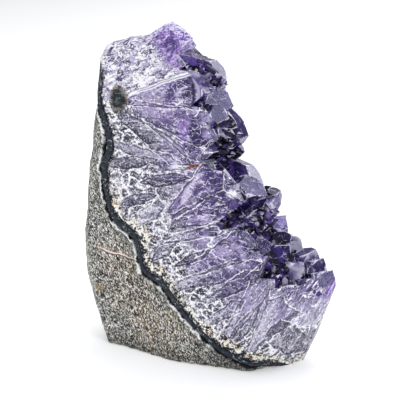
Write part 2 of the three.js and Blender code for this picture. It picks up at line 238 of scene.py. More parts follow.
class Number:
    """A number that changes over the surface, so that finishes can be written as sums."""

    def __init__(self, finish, socket):
        self.finish = finish
        self.socket = socket

    def work(self, operation, *others):
        values = {i: value for i, value in enumerate((self, *others))}
        return self.finish.number("ShaderNodeMath", {"operation": operation}, values)

    def __add__(self, other):
        return self.work("ADD", other)

    __radd__ = __add__

    def __sub__(self, other):
        return self.work("SUBTRACT", other)

    def __rsub__(self, other):
        return (self * -1).work("ADD", other)

    def __mul__(self, other):
        return self.work("MULTIPLY", other)

    __rmul__ = __mul__

    def __truediv__(self, other):
        return self.work("DIVIDE", other)

    def __pow__(self, other):
        return self.work("POWER", other)

    def clamped(self):
        return self.work("MAXIMUM", 0.0).work("MINIMUM", 1.0)

    def ramp(self, low, high):
        """0 below low, 1 above high, smooth between; falls instead where low is above high."""
        settings = {"interpolation_type": "SMOOTHSTEP", "clamp": True}
        ends = {"From Min": low, "From Max": high}
        if low > high:
            ends = {"From Min": high, "From Max": low, "To Min": 1.0, "To Max": 0.0}
        return self.finish.number("ShaderNodeMapRange", settings, {"Value": self, **ends})

    def band(self, centre, half_width):
        """1 at the centre, falling to 0 at the half width on both sides."""
        return (self - centre).work("ABSOLUTE").ramp(half_width, 0)


class Finish:
    """A procedural material, or the room's light, built node by node."""

    def __init__(self, name, owner=None):
        self.material = (bpy.data.materials if owner is None else owner).new(name)
        self.material.use_nodes = True
        self.nodes = self.material.node_tree.nodes
        self.links = self.material.node_tree.links
        self.nodes.clear()

    def node(self, kind, settings=None, values=None):
        """A node of a kind, with its settings and then its sockets' values or links."""
        made = self.nodes.new(kind)
        for key, value in (settings or {}).items():
            setattr(made, key, value)
        for key, value in (values or {}).items():
            self.feed(made.inputs[key], value)
        return made

    def feed(self, socket, value):
        if isinstance(value, Number):
            value = value.socket
        if isinstance(value, bpy.types.NodeSocket):
            self.links.new(value, socket)
        elif isinstance(value, (tuple, list)) and len(value) == 3 and socket.type == "RGBA":
            socket.default_value = (*value, 1)
        else:
            socket.default_value = value

    def number(self, kind, settings=None, values=None, output=0):
        return Number(self, self.node(kind, settings, values).outputs[output])

    def mix(self, factor, first, second):
        return self.node("ShaderNodeMix", {"data_type": "RGBA"}, {0: factor, 6: first, 7: second}).outputs[2]

    def shifted(self, operation, vector, other):
        """A vector with another added or subtracted, or scaled by a number."""
        values = {0: vector, "Scale" if operation == "SCALE" else 1: other}
        return self.node("ShaderNodeVectorMath", {"operation": operation}, values).outputs[0]

    def vector(self, x, y, z):
        return self.node("ShaderNodeCombineXYZ", None, {0: x, 1: y, 2: z}).outputs[0]

    def parts(self, vector):
        split = self.node("ShaderNodeSeparateXYZ", None, {0: vector})
        return [Number(self, output) for output in split.outputs]

    def places(self):
        """Object coordinates in millimetres from the near corner of the base."""
        metres = self.node("ShaderNodeTexCoord").outputs["Object"]
        return self.shifted("ADD", self.shifted("SCALE", metres, 1 / MM), (ORIGIN_X, ORIGIN_Y, 0))

    def attribute(self, name):
        return self.node("ShaderNodeAttribute", {"attribute_name": name}).outputs["Vector"]

    def attribute_number(self, name):
        return Number(self, self.node("ShaderNodeAttribute", {"attribute_name": name}).outputs["Fac"])

    def dot(self, vector, direction):
        return self.number("ShaderNodeVectorMath", {"operation": "DOT_PRODUCT"}, {0: vector, 1: direction}, 1)

    def lengthened(self, place, tilt, stretch):
        """A place with its x along a direction of the sawn side, in which patterns come out long."""
        cos, sin = math.cos(math.radians(tilt)), math.sin(math.radians(tilt))
        along = self.dot(place, (cos / stretch, 0, sin / stretch))
        return self.vector(along, self.dot(place, (0, 1, 0)), self.dot(place, (-sin, 0, cos)))

    def noise(self, vector, size, detail=3.0, roughness=0.5, shift=0.0, output="Fac"):
        """Fractal noise whose lumps are about size millimetres, in a part of its own if it is shifted."""
        if shift:
            vector = self.shifted("ADD", vector, (shift, shift, shift))
        values = {"Vector": vector, "Scale": 1 / size, "Detail": detail, "Roughness": roughness}
        made = self.node("ShaderNodeTexNoise", None, values)
        return Number(self, made.outputs["Fac"]) if output == "Fac" else made.outputs["Color"]

    def blend_vectors(self, factor, first, second):
        settings = {"data_type": "VECTOR", "factor_mode": "UNIFORM"}
        return self.node("ShaderNodeMix", settings, {0: factor, 4: first, 5: second}).outputs[1]

    def cells(self, vector, size, feature="F1"):
        return self.node("ShaderNodeTexVoronoi", {"feature": feature}, {"Vector": vector, "Scale": 1 / size})

    def cell_edge(self, vector, size):
        """Millimetres to the nearest border between two cells."""
        return Number(self, self.cells(vector, size, "DISTANCE_TO_EDGE").outputs["Distance"]) * size

    def chipped(self, place, size):
        """A height of small flat facets, each tilted its own way."""
        chips = self.cells(place, size)
        offset = self.shifted("SUBTRACT", place, chips.outputs["Position"])
        return self.dot(offset, self.shifted("SUBTRACT", chips.outputs["Color"], (0.5, 0.5, 0.5)))

    def grown(self, place, foot, tip, half_width, form):
        """A crystal that the saw cut through: millimetres inside its outline, and the way across it.

        A point widens from its foot and closes quickly at its tip; a lens is pointed at both ends.
        """
        reach = math.dist(foot, tip)
        unit = ((tip[0] - foot[0]) / reach, (tip[1] - foot[1]) / reach)
        offset = self.shifted("SUBTRACT", place, (foot[0], 0, foot[1]))
        way = self.dot(offset, (unit[0] / reach, 0, unit[1] / reach))
        side = self.dot(offset, (-unit[1], 0, unit[0]))
        if form == "lens":
            width = way * (1 - way) * 4
        else:
            widening = way.work("MULTIPLY_ADD", 0.75, 0.4)
            closing = way.work("MULTIPLY_ADD", -4.5, 4.5)
            opening = way.work("MULTIPLY_ADD", 9.0, 0.1)
            width = widening.work("MINIMUM", closing).work("MINIMUM", opening)
        return width * half_width - side.work("ABSOLUTE"), side / half_width

    def warp(self, vector, size, amount):
        """Pushes a place about by noise."""
        push = self.noise(vector, size, 2, output="Color")
        centred = self.shifted("SUBTRACT", push, (0.5, 0.5, 0.5))
        return self.shifted("ADD", vector, self.shifted("SCALE", centred, 2 * amount))

    def reach(self, place, centre, half_length, half_width, tilt):
        """0 at the centre of an ellipse on the sawn side, 1 on its outline, tilted by degrees from +x."""
        x, _, z = self.parts(place)
        cos, sin = math.cos(math.radians(tilt)), math.sin(math.radians(tilt))
        along = ((x - centre[0]) * cos + (z - centre[1]) * sin) / half_length
        across = ((z - centre[1]) * cos - (x - centre[0]) * sin) / half_width
        return (along * along + across * across) ** 0.5

    def spot(self, place, centre, half_length, half_width, tilt, softness=0.35):
        """1 inside an ellipse on the sawn side, 0 outside."""
        return self.reach(place, centre, half_length, half_width, tilt).ramp(1 + softness, 1 - softness)

    def bump(self, height, distance, strength=1.0):
        values = {"Height": height, "Distance": distance * MM, "Strength": strength}
        return self.node("ShaderNodeBump", None, values).outputs[0]

    def starker(self, colour, middle, strength):
        """The colour in its own hue, lighter where it is lighter than the middle and else darker."""
        light = self.number("ShaderNodeRGBToBW", None, {"Color": colour})
        scaled = self.shifted("SCALE", colour, (light / middle) ** strength)
        return self.shifted("MINIMUM", scaled, (0.95, 0.95, 0.95))

    def surface(self, values):
        shader = self.node("ShaderNodeBsdfPrincipled", None, values)
        self.output(shader.outputs[0])
        return self.material

    def output(self, surface, volume=None):
        end = self.node("ShaderNodeOutputMaterial", None, {"Surface": surface})
        if volume:
            self.links.new(volume, end.inputs["Volume"])


# Finishes

def basalt_finish():
    """Sawn and natural basalt: slanting grain, light and dark minerals, brown patches, a skin outside."""
    f = Finish("sawn_basalt")
    place = f.places()
    x, y, z = f.parts(place)
    seam_gap = f.attribute_number("seam_gap")
    grain_place = f.lengthened(f.warp(place, 5, 0.8), -62, 2.0)
    grain = f.noise(grain_place, 0.42, 2, 0.8)
    coarse = f.noise(grain_place, 0.95, 3, 0.75)
    clouds = f.noise(place, 14, 3, 0.55)
    body = f.mix(clouds.ramp(0.35, 0.65), paint(101, 104, 107), paint(130, 127, 121))
    brown = (f.spot(place, (-39, 20), 21, 11, -40, 0.7) * clouds.ramp(0.30, 0.55)).clamped()
    body = f.mix(brown * 0.7, body, paint(138, 114, 82))
    body = f.mix(coarse.ramp(0.48, 0.40) * 0.8, body, paint(54, 50, 44))
    body = f.mix(coarse.ramp(0.53, 0.61) * 0.7, body, paint(196, 193, 184))
    body = f.mix(grain.ramp(0.45, 0.40) * 0.95, body, paint(14, 13, 12))
    body = f.mix(grain.ramp(0.54, 0.60) * 0.9, body, paint(236, 232, 220))
    flecks = f.noise(place, 0.9, 2, 0.6, shift=31)
    body = f.mix(flecks.ramp(0.61, 0.67) * brown.ramp(0, 0.5) * 0.6, body, paint(186, 146, 98))
    skin_noise = f.noise(place, 3, 3) - 0.5
    skin = (x + 0.11 * z + 0.33 * y + skin_noise * 1.6).ramp(-55.0, -59.5)
    # The rock's natural outer skin, lighter grey, and partly painted light: the rounded left side as lit from
    # the left.
    weathered_and_lit_skin = f.mix(clouds.ramp(0.4, 0.6), paint(150, 152, 142), paint(186, 186, 176))
    weathered_and_lit_skin = f.mix(coarse.ramp(0.47, 0.40) * 0.6, weathered_and_lit_skin, paint(104, 103, 94))
    weathered_and_lit_skin = f.mix(grain.ramp(0.55, 0.62) * 0.6, weathered_and_lit_skin, paint(222, 221, 211))
    body = f.mix(skin * 0.85, body, weathered_and_lit_skin)
    slope = (x + 60) * 0.13
    from_vein = z - 37 + slope + (f.noise(place, 5, 2) - 0.5) * 2.5
    vein = x.ramp(-59, -54) * y.ramp(8, 2)
    body = f.mix(from_vein.band(-0.5, 0.5) * vein * 0.8, body, paint(66, 54, 50))
    body = f.mix(from_vein.band(0.1, 0.6) * vein, body, paint(226, 198, 190))
    lump = f.spot(f.warp(place, 3, 1.0), (-57, 21.5), 2.6, 1.5, -25, 0.3) * y.ramp(5, 2)
    body = f.mix(lump * 0.6, body, paint(150, 128, 94))
    crack = f.noise(f.lengthened(place, -50, 5.0), 4.5, 1, 0.4).band(0.5, 0.010) * coarse.ramp(0.48, 0.6)
    body = f.mix(crack * 0.8, body, paint(28, 25, 22))
    body = f.mix(seam_gap.ramp(7, 1) * 0.4, body, paint(92, 97, 100))
    ragged = seam_gap + (f.noise(place, 2.5, 3, 0.7, shift=3) - 0.5) * 5 + (clouds - 0.5) * 6
    body = f.mix(ragged.ramp(0.9, 0.5), body, paint(15, 19, 30))
    body = f.mix(ragged.band(1.5, 0.8) * clouds.ramp(0.40, 0.50) * 0.95, body, paint(222, 224, 224))
    # Painted shade: the rock darker over its lowest 8 mm, next to the floor.
    body = f.mix(z.ramp(8, 0) * 0.45, body, paint(50, 48, 46))
    return f.surface({
        "Base Color": f.starker(body, 0.29, 0.5),
        "Roughness": 0.72 + grain * 0.2,
        "Specular IOR Level": 0.35,
        "Normal": f.bump(grain * 0.6 + coarse * 0.6, 0.6, 0.9),
    })


def seam_finish():
    """The dark lining between rock and quartz: blue-black with a few pale specks."""
    f = Finish("celadonite")
    place = f.places()
    grain = f.noise(place, 1.1, 4, 0.75)
    specks = f.noise(place, 0.9, 3, 0.75, shift=17)
    lumps = f.noise(place, 3.5, 3, 0.6, shift=29)
    body = f.mix(grain.ramp(0.42, 0.62), paint(10, 13, 22), paint(46, 56, 70))
    body = f.mix(specks.ramp(0.57, 0.62) * lumps.ramp(0.42, 0.58) * 0.9, body, paint(184, 188, 196))
    return f.surface({
        "Base Color": body,
        "Roughness": 0.5,
        "Specular IOR Level": 0.3,
        "Normal": f.bump(grain, 0.5, 0.7),
    })


def quartz_finish():
    """The sawn quartz: small crystals near the seam, long ones cut through with painted light and shade across
    them, purple fans under the points, and one painted highlight.
    """
    f = Finish("sawn_quartz")
    place = f.places()
    x, y, z = f.parts(place)
    along, share, skin = f.parts(f.attribute("growth"))
    seam_gap = f.attribute_number("seam_gap")
    wander = f.noise(place, 9, 3, 0.6) - 0.5
    grains = f.noise(place, 0.75, 2, 0.75)
    crumbs = f.noise(place, 1.5, 4, 0.75, shift=23)
    bruises = f.noise(place, 3.0, 4, 0.7, shift=37)
    patches = f.noise(place, 7, 3, 0.6, shift=11)

    way = share * GROWTH_LENGTH
    blades = f.warp(f.vector(along + wander * 9, y * 0.7, way * 0.28), 2.6, 0.5)
    blade = f.cells(blades, 4.6)
    blade_tint = f.parts(blade.outputs["Color"])
    blade_edge = f.cell_edge(blades, 4.6)
    buds = f.warp(f.vector(along + wander * 6, y, way * 0.7), 1.6, 0.5)
    bud_tint = f.parts(f.cells(buds, 3.1).outputs["Color"])
    bud_edge = f.cell_edge(buds, 3.1)
    squiggle_place = f.warp(f.vector(along, y, way * 0.6), 1.2, 0.5)
    squiggles = f.noise(squiggle_place, 2.7, 2, 0.6, shift=3)
    curls = f.noise(f.warp(place, 1.1, 0.5), 1.9, 1, 0.5, shift=51)
    rays = f.vector(along + wander * 5, y, way * 0.13)

    young = (share + wander * 0.3).ramp(0.56, 0.28)
    tint = blade_tint[0] * (1 - young) + bud_tint[0] * young
    body = f.mix(tint.ramp(0.1, 0.9), paint(176, 172, 192), paint(104, 99, 134))
    dark_bud = bud_tint[1].ramp(0.60, 0.70) * young * seam_gap.ramp(2, 4)
    body = f.mix(dark_bud * 0.8, body, paint(72, 68, 98))

    sheared = f.shifted("ADD", place, f.vector(y * -0.35, 0.0, y * 0.25))
    wavy = f.warp(f.warp(sheared, 4.5, 1.1), 1.1, 0.3)
    whole = 0.0
    outline = 0.0
    shade = 0.0
    for foot, tip, half_width, form, tone in SAWN_CRYSTALS:
        inside, side = f.grown(wavy, foot, tip, half_width, form)
        mask = inside.ramp(0, 0.3)
        light, dark = LIT_AND_SHADED_TONES[tone]
        # Painted light and shade: each sawn crystal takes its tone lit on one side and shaded on the other,
        # across its width.
        body = f.mix(mask * 0.9, body, f.mix(side.ramp(-0.5, 0.6), dark, light))
        whole = mask.work("MAXIMUM", whole)
        outline = inside.band(0.1, 0.27).work("MAXIMUM", outline)
        # shade marks a painted shadow: a dark band just inside each sawn crystal's outline.
        shade = inside.band(0.6, 0.5).work("MAXIMUM", shade)

    for apex, reach in FANS:
        over, _, up = f.parts(f.shifted("SUBTRACT", place, (apex[0], 0, apex[1])))
        angle = up.work("ARCTAN2", over)
        radius = (over * over + up * up) ** 0.5
        spread = radius.ramp(reach * 1.25, reach * 0.85) * angle.ramp(-0.75, -0.5) * angle.ramp(1.2, 1.0)
        rays = f.blend_vectors(spread.ramp(0.3, 0.7), rays, f.vector(angle * 13, y * 0.4, radius * 0.16))
    rays = f.warp(rays, 2, 0.6)
    streaks = f.noise(rays, 1.4, 3, 0.7)
    broad_streaks = f.noise(rays, 3.6, 2, 0.6, shift=9)

    depth = skin + (blade_tint[1] - 0.5) * 5 + wander * 10
    near_points = depth.ramp(17, 5)
    body = f.mix(near_points * 0.55, body, paint(114, 84, 166))
    body = f.mix(near_points * broad_streaks.ramp(0.52, 0.60) * 0.65, body, paint(184, 172, 212))
    body = f.mix(near_points * broad_streaks.ramp(0.48, 0.40) * 0.8, body, paint(70, 46, 126))
    body = f.mix(near_points * bruises.ramp(0.53, 0.60) * 0.75, body, paint(60, 36, 118))
    body = f.mix(depth.ramp(5.5, 0.5) * bruises.ramp(0.42, 0.50) * 0.8, body, paint(44, 22, 96))
    body = f.mix(x.ramp(12, 20) * z.ramp(34, 24) * 0.4, body, paint(216, 212, 228))
    right_end = skin.ramp(9, 2) * x.ramp(19, 25)
    body = f.mix(right_end * broad_streaks.ramp(0.40, 0.52), body, paint(128, 84, 196))
    body = f.mix(right_end * streaks.ramp(0.52, 0.58) * 0.8, body, paint(206, 190, 236))
    body = f.mix(patches.ramp(0.54, 0.66) * (1 - near_points) * 0.6, body, paint(198, 195, 210))
    body = f.mix(streaks.ramp(0.55, 0.61) * 0.6, body, paint(224, 219, 237))
    body = f.mix(streaks.ramp(0.45, 0.39) * 0.6, body, paint(52, 40, 92))

    for centre, half_length, half_width, tilt, colour, strength in STAINS_AND_A_PAINTED_HIGHLIGHT:
        # The spots, with the one painted highlight at -3.6, 64.8.
        stain_or_highlight = f.spot(wavy, centre, half_length, half_width, tilt, 0.35) * y.ramp(9, 3)
        body = f.mix(stain_or_highlight * (bruises.ramp(0.36, 0.5) * 0.4 + 0.6) * strength, body, paint(*colour))

    drawn = f.noise(place, 3.5, 3, 0.6, shift=5)
    broken = crumbs.ramp(0.38, 0.48)
    bud_lines = bud_edge.ramp(0.36, 0.10) * young * (1 - whole)
    bud_shade = bud_edge.band(0.75, 0.4) * young * (1 - whole)
    blade_lines = blade_edge.ramp(0.30, 0.08) * (1 - young) * (1 - whole) * drawn.ramp(0.50, 0.57)
    curl_strength = (0.15 + young * 0.7) * (1 - whole * 0.5)
    body = f.mix(squiggles.band(0.455, 0.03) * 0.7, body, paint(52, 46, 84))
    body = f.mix(squiggles.band(0.50, 0.022) * 0.75, body, paint(232, 229, 241))
    body = f.mix(curls.band(0.445, 0.04) * curl_strength, body, paint(46, 42, 74))
    body = f.mix(curls.band(0.50, 0.03) * curl_strength, body, paint(236, 234, 243))
    # Painted shadow: dark bands inside the sawn crystals' outlines and beside the borders of the small
    # crystals by the seam.
    body = f.mix(shade * drawn.ramp(0.66, 0.50) * 0.75, body, paint(46, 37, 78))
    body = f.mix(bud_shade * 0.75, body, paint(48, 44, 72))
    # White lines: cell and crystal borders that are white in the quartz, and along the sawn crystals' outlines
    # partly a painted highlight as well.
    lines = (outline * drawn.ramp(0.40, 0.52)).work("MAXIMUM", bud_lines).work("MAXIMUM", blade_lines)
    lines = lines * broken
    body = f.mix(lines * 0.92, body, paint(240, 239, 247))

    speckled = (young * 0.65 + 0.3 + patches.ramp(0.5, 0.66) * 0.3).clamped() * (1 - whole * 0.45)
    body = f.mix(grains.ramp(0.57, 0.63) * speckled * 0.85, body, paint(240, 239, 245))
    body = f.mix(grains.ramp(0.44, 0.38) * speckled * 0.85, body, paint(24, 21, 42))
    body = f.mix(crumbs.ramp(0.43, 0.36) * speckled * 0.8, body, paint(40, 36, 62))

    block_edge = z - 94.9 - (x + 44.3) * 0.415 + wander * 1.8 + (crumbs - 0.5) * 0.8
    block = block_edge.ramp(-0.3, 0.4)
    block_rays = f.lengthened(f.warp(place, 3, 1.2), 26, 3.2)
    block_streaks = f.noise(block_rays, 1.5, 3, 0.75)
    block_lines = f.noise(block_rays, 2.6, 2, 0.65, shift=7)
    block_body = f.mix(patches.ramp(0.4, 0.6), paint(222, 219, 230), paint(178, 168, 200))
    block_body = f.mix(block_streaks.ramp(0.53, 0.58) * 0.9, block_body, paint(244, 242, 248))
    block_body = f.mix(block_streaks.ramp(0.46, 0.41) * 0.9, block_body, paint(84, 72, 122))
    block_body = f.mix(block_lines.band(0.455, 0.03) * 0.85, block_body, paint(66, 56, 104))
    block_body = f.mix(block_lines.band(0.50, 0.025) * 0.95, block_body, paint(250, 249, 252))
    bright_end = f.spot(wavy, (-26.5, 113.5), 9, 5.5, -50, 0.4)
    violet = f.mix(bruises.ramp(0.42, 0.56), paint(150, 104, 204), paint(74, 34, 146))
    block_body = f.mix(bright_end * 0.8, block_body, violet)
    block_body = f.mix(bright_end * block_streaks.ramp(0.53, 0.60) * 0.8, block_body, paint(214, 196, 240))
    specks = grains.ramp(0.44, 0.38) * crumbs.ramp(0.56, 0.46)
    block_body = f.mix(specks * 0.85, block_body, paint(48, 40, 78))
    body = f.mix(block * 0.95, body, block_body)
    split = block_edge.band(-0.9, 1.1) * x.ramp(-45, -42)
    body = f.mix(split * 0.95, body, paint(244, 243, 248))
    body = f.mix(block_edge.band(-0.9, 0.35) * x.ramp(-42, -38) * 0.8, body, paint(80, 68, 118))

    hook = f.reach(wavy, (-21.8, 97.6), 5.4, 7.2, 8)
    hook_side = (x + 21.0 - (z - 97.6).work("ABSOLUTE") * 0.25).ramp(0.3, 1.8) * y.ramp(4, 1.5)
    body = f.mix(hook.band(1.0, 0.24) * hook_side, body, paint(176, 166, 200))
    body = f.mix(hook.band(0.70, 0.15) * hook_side * 0.9, body, paint(48, 32, 84))
    body = f.mix(hook.band(1.24, 0.07) * hook_side * 0.9, body, paint(232, 228, 242))

    ragged = seam_gap + (f.noise(place, 2.2, 3, 0.7, shift=3) - 0.5) * 6 + (patches - 0.5) * 14
    low_wall = z.ramp(72, 48)
    rim = ragged.ramp(5.2, 2.2) * (low_wall * 0.85 + 0.15)
    cream = f.mix(bruises.ramp(0.56, 0.62), paint(228, 223, 211), paint(206, 158, 96))
    rim_grain = f.mix(crumbs.ramp(0.46, 0.51), paint(16, 19, 30), cream)
    body = f.mix(rim * grains.ramp(0.36, 0.44) * 0.95, body, rim_grain)
    lining = seam_gap + (crumbs - 0.5) * 4 + (patches - 0.5) * 7 * low_wall + (bruises - 0.5) * 3
    lining_body = f.mix(grains.ramp(0.57, 0.62), paint(14, 18, 29), paint(176, 180, 190))
    body = f.mix(lining.ramp(1.3, 0.9), body, lining_body)

    pit_place = f.warp(f.warp(place, 3.5, 1.0), 1.0, 0.45)
    pit = f.reach(pit_place, (-47.3, 92.4), 5.0, 3.7, 80) + (crumbs - 0.5) * 0.6
    pit_heart = f.mix(crumbs.ramp(0.45, 0.60), paint(22, 29, 32), paint(92, 112, 114))
    pit_rim = f.mix(crumbs.ramp(0.4, 0.55), paint(58, 53, 50), paint(142, 134, 130))
    pit_body = f.mix(pit.ramp(0.45, 0.85), pit_heart, pit_rim)
    body = f.mix(pit.ramp(1.15, 0.85) * y.ramp(7, 3) * 0.96, body, pit_body)
    rust = f.spot(f.warp(place, 1.5, 0.9), (-18.4, 72.4), 2.6, 0.5, 18, 0.4) * y.ramp(5, 2)
    body = f.mix(rust, body, f.mix(crumbs.ramp(0.4, 0.55), paint(78, 42, 24), paint(176, 96, 48)))

    height = crumbs * 0.5 + grains * 0.3 - lines * 0.15
    return f.surface({
        "Base Color": f.starker(body, 0.36, 0.36),
        "Roughness": 0.30 + crumbs.ramp(0.4, 0.7) * 0.25,
        "IOR": 1.54,
        "Specular IOR Level": 0.25,
        "Normal": f.bump(height, 0.4, 0.8),
    })


def points_finish():
    """The crystal faces: dark purple quartz, each facet clouded in its own degree, chipped in hollows; painted
    shade and painted glints in the hollows, painted highlights along the edges.
    """
    f = Finish("amethyst_points")
    place = f.places()
    x, y, z = f.parts(place)
    edge = f.attribute_number("edge")
    hollow = f.attribute_number("hollow")
    clouding = f.attribute_number("clouding")
    haze = f.noise(place, 5, 3, 0.6)
    wisps = f.noise(f.warp(place, 3, 1.0), 1.7, 3, 0.65, shift=13)
    grains = f.noise(place, 0.8, 2, 0.7)
    chips = f.chipped(place, 1.5)
    chip_tint = f.parts(f.cells(place, 1.5).outputs["Color"])
    chipped = (hollow + (haze - 0.5) * 0.8).ramp(0.62, 0.85)
    top = z.ramp(106, 110)

    # The hollow term is painted shade: faces closed in by other crystals are made clearer, so darker.
    cloud = clouding + (haze - 0.5) * 1.0 + (wisps - 0.5) * 0.45 - hollow * 0.35
    veil = f.mix(cloud.ramp(0.0, 0.35), paint(20, 18, 40), paint(70, 50, 124))
    veil = f.mix(cloud.ramp(0.35, 0.62), veil, paint(120, 106, 166))
    veil = f.mix(cloud.ramp(0.62, 0.95), veil, paint(212, 208, 232))
    # Painted glints: where faces are chipped, in hollows, each chip is painted near white or near black, as
    # though it caught or missed the light.
    sparkle = f.mix(chip_tint[0].ramp(0.35, 0.95), paint(38, 31, 70), paint(226, 222, 240))
    veil = f.mix(chipped * chip_tint[1].ramp(0.25, 0.4) * 0.9, veil, sparkle)
    crown = f.mix(grains.ramp(0.42, 0.58), paint(96, 52, 158), paint(226, 214, 242))
    veil = f.mix(top, veil, crown)
    cracks = f.cell_edge(f.warp(place, 6, 1.5), 4.5).ramp(0.18, 0.04) * wisps.ramp(0.48, 0.54)
    veil = f.mix(cracks * 0.8, veil, paint(196, 192, 222))
    # Painted highlight: near white along the sharp crystal edges, where they would catch the light; these
    # places are also made cloudy further on.
    painted_edge_highlight = edge.ramp(0.32, 0.10) * haze.ramp(0.42, 0.52) * wisps.ramp(0.38, 0.48)
    veil = f.mix(painted_edge_highlight, veil, paint(222, 220, 238))
    relief = f.bump(wisps * 0.25 + chips * chipped * 0.8, 0.5, 0.45)

    clear = f.node("ShaderNodeBsdfPrincipled", None, {
        "Base Color": f.mix(haze.ramp(0.35, 0.65), (0.55, 0.46, 0.84), (0.88, 0.86, 0.98)),
        "Roughness": 0.02,
        "IOR": 1.54,
        "Transmission Weight": 1.0,
        "Specular Tint": FACE_TINT,
        "Normal": relief,
    })
    cloudy = f.node("ShaderNodeBsdfPrincipled", None, {
        "Base Color": veil,
        "Roughness": 0.07 + top * 0.3,
        "IOR": 1.54,
        "Specular Tint": FACE_TINT,
        "Normal": relief,
    })
    share_cloudy = (0.42 + cloud.ramp(0.4, 1.0) * 0.35 + chipped * 0.3 + top * 0.5).clamped()
    share_cloudy = painted_edge_highlight.work("MAXIMUM", share_cloudy).work("MAXIMUM", cracks * 0.8)
    mixed = {0: share_cloudy, 1: clear.outputs[0], 2: cloudy.outputs[0]}
    violet = {"Color": (0.50, 0.32, 0.80), "Density": 150.0}
    absorption = f.node("ShaderNodeVolumeAbsorption", None, violet)
    f.output(f.node("ShaderNodeMixShader", None, mixed).outputs[0], absorption.outputs[0])
    return f.material


def small_points_finish():
    """The small crystals: dark, violet or milky, with some faces that flash, painted near white as glints."""
    f = Finish("small_amethysts")
    kind = f.attribute_number("kind")
    flash = f.attribute_number("flash")
    haze = f.noise(f.places(), 1.2, 2, 0.6)
    body = f.mix((kind + (haze - 0.5) * 0.3).ramp(0.1, 0.75), paint(18, 15, 36), paint(112, 84, 172))
    body = f.mix(kind.ramp(0.70, 0.75), body, paint(190, 184, 216))
    # Painted glints: faces picked at random are painted near white.
    body = f.mix((flash + kind * 0.1).ramp(0.86, 0.94), body, paint(232, 230, 244))
    return f.surface({
        "Base Color": body,
        "Roughness": 0.05 + haze * 0.06,
        "IOR": 1.54,
        "Specular Tint": FACE_TINT,
        "Specular IOR Level": 0.3,
        "Transmission Weight": 0.3,
    })


# Pieces

def select_only(piece):
    bpy.ops.object.select_all(action="DESELECT")
    piece.select_set(True)
    bpy.context.view_layer.objects.active = piece


def copy_of_node(node, name):
    """A merged copy of a CAD node's mesh as a new piece."""
    select_only(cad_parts[node])
    bpy.ops.object.duplicate()
    piece = bpy.context.object
    piece.name = name
    piece.data.name = name
    piece.data.materials.clear()
    bpy.ops.object.mode_set(mode="EDIT")
    bpy.ops.mesh.select_all(action="SELECT")
    bpy.ops.mesh.remove_doubles(threshold=1e-6)
    bpy.ops.object.mode_set(mode="OBJECT")
    return piece


def cut_into_cells(piece, spacing):
    """Cuts a mesh along evenly spaced planes in three directions, as far apart as the spacing."""
    places = vertex_places(piece)
    low, high = Vector(places.min(0)), Vector(places.max(0))
    bpy.ops.object.mode_set(mode="EDIT")
    for axis in range(3):
        normal = [0, 0, 0]
        normal[axis] = 1
        steps = int((high[axis] - low[axis]) / spacing)
        for i in range(1, steps + 1):
            at = low.copy()
            at[axis] += (high[axis] - low[axis]) * i / (steps + 1)
            bpy.ops.mesh.select_all(action="SELECT")
            bpy.ops.mesh.bisect(plane_co=at, plane_no=normal)
    bpy.ops.mesh.select_all(action="SELECT")
    bpy.ops.mesh.quads_convert_to_tris()
    bpy.ops.object.mode_set(mode="OBJECT")


def apply_modifier(piece, kind, **settings):
    select_only(piece)
    modifier = piece.modifiers.new(kind.lower(), kind)
    for key, value in settings.items():
        setattr(modifier, key, value)
    bpy.ops.object.modifier_apply(modifier=modifier.name)


def saw_flat(piece, point, outwards):
    """Cuts off what stands out past a plane and closes the cut."""
    select_only(piece)
    bpy.ops.object.mode_set(mode="EDIT")
    bpy.ops.mesh.select_all(action="SELECT")
    bpy.ops.mesh.bisect(plane_co=point, plane_no=outwards, clear_outer=True, use_fill=True, threshold=1e-6)
    bpy.ops.object.mode_set(mode="OBJECT")


def vertex_places(piece):
    flat = np.empty(len(piece.data.vertices) * 3)
    piece.data.vertices.foreach_get("co", flat)
    return flat.reshape(-1, 3)


def face_values(mesh, name):
    flat = np.empty(len(mesh.polygons) * 3)
    mesh.polygons.foreach_get(name, flat)
    return flat.reshape(-1, 3)


def corner_millimetres(places):
    return places / MM + np.array([ORIGIN_X, ORIGIN_Y, 0])


def growth_at(points):
    """For each point, the way along the seam in mm, its share of the way to the points' ends, and that way."""
    feet = np.array([row[0] for row in GROWTH_ROWS], float)
    ends = np.array([row[1] for row in GROWTH_ROWS], float)
    rows = np.linspace(-ROWS_PAST_ENDS, len(GROWTH_ROWS) - 1 + ROWS_PAST_ENDS, ROW_STEPS)
    whole = np.clip(np.floor(rows).astype(int), 0, len(GROWTH_ROWS) - 2)
    part = (rows - whole)[:, None]
    foot = feet[whole] * (1 - part) + feet[whole + 1] * part
    end = ends[whole] * (1 - part) + ends[whole + 1] * part
    reach = end - foot
    length = np.linalg.norm(reach, axis=1)
    unit = reach / length[:, None]
    along = np.empty(len(points))
    share = np.empty(len(points))
    way = np.empty((len(points), 2))
    for start in range(0, len(points), PLACES_AT_ONCE):
        batch = slice(start, start + PLACES_AT_ONCE)
        flat = points[batch][:, [0, 2]]
        offset = flat[:, None, :] - foot[None]
        aside = unit[None, :, 0] * offset[:, :, 1] - unit[None, :, 1] * offset[:, :, 0]
        forward = (offset * unit[None]).sum(2) / length[None]
        other_row = (forward < SHARES[0]) | (forward > SHARES[1])
        far = np.abs(aside) + np.where(other_row, OTHER_ROW_GAP, 0)
        best = far.argmin(1)
        pick = np.arange(len(flat))
        along[batch] = rows[best] * ROW_SPACING
        share[batch] = forward[pick, best]
        way[batch] = unit[best]
    return along, share, way


def lies_on_flat(centre, normal):
    for flat_normal, flat_point in SAWN_FLATS:
        flat_normal = Vector(flat_normal).normalized()
        gap = abs(flat_normal.dot(centre - Vector(flat_point)))
        if normal.dot(flat_normal) > ON_FLAT_COSINE and gap < ON_FLAT_GAP:
            return True
    return False


